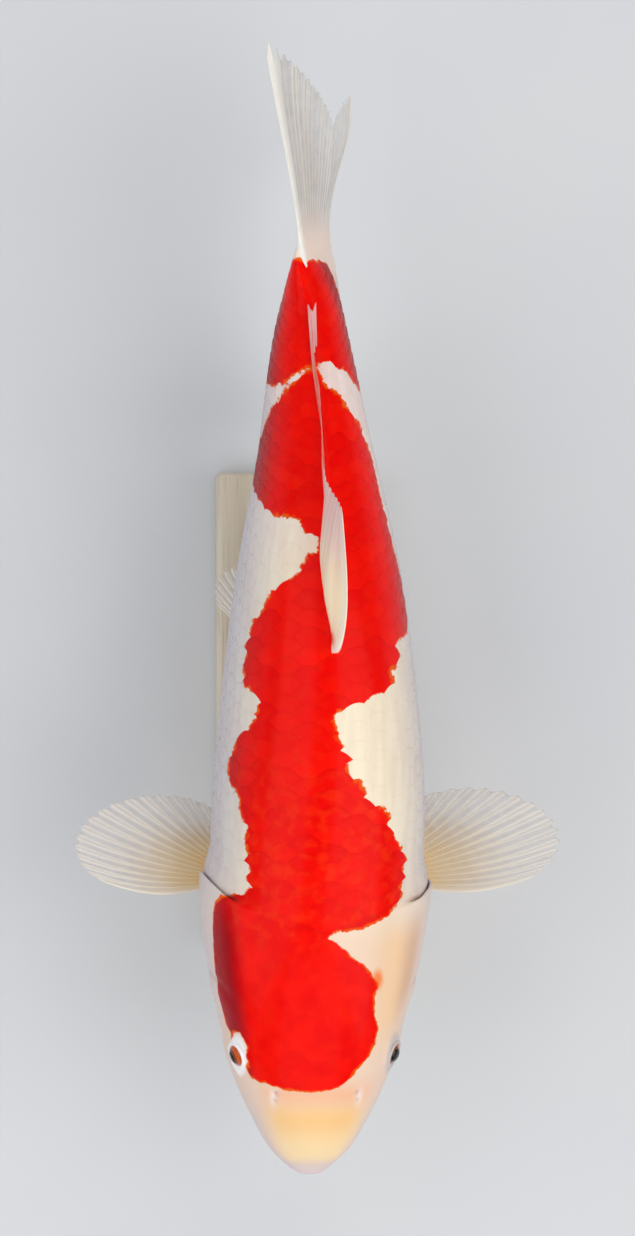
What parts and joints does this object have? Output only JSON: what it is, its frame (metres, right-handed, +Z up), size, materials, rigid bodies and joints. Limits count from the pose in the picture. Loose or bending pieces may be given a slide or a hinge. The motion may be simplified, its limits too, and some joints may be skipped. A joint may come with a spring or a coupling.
{
  "type": "koi carp model",
  "caption": "Still life-size model of a red and white koi carp in a swimming pose, seen best from above, held by rods on a plain wooden base.",
  "frame": {"origin": "centre of the underside of the stand's base, where the model stands", "axes": "+Z up, +Y from the head towards the tail, +X towards the fish's left side"},
  "size_m": [0.2815, 0.6408, 0.2552],
  "materials": {
    "skin": "wet glossy scaled skin, red patches on cream white",
    "barbels": "wet skin, peach",
    "eyes": "clear glossy, orange-brown iris with a black pupil",
    "fins": "thin milky membrane over cream rays",
    "stand_wood": "dark satin varnish",
    "stand_metal": "satin steel rod"
  },
  "bodies": {
    "root": {"head": "skin", "trunk_front": "skin", "trunk_rear": "skin", "tail_stem": "skin", "gill_cover_left": "skin", "gill_cover_right": "skin", "upper_lip": "skin", "lower_lip": "skin", "barbel_upper_left": "barbels", "barbel_upper_right": "barbels", "barbel_corner_left": "barbels", "barbel_corner_right": "barbels", "eye_left": "eyes", "eye_right": "eyes", "dorsal_fin": "fins", "tail_fin": "fins", "anal_fin": "fins", "pectoral_fin_left": "fins", "pectoral_fin_right": "fins", "pelvic_fin_left": "fins", "pelvic_fin_right": "fins", "stand_base": "stand_wood", "stand_rod_front": "stand_metal", "stand_rod_rear": "stand_metal"}
  },
  "joints": []
}
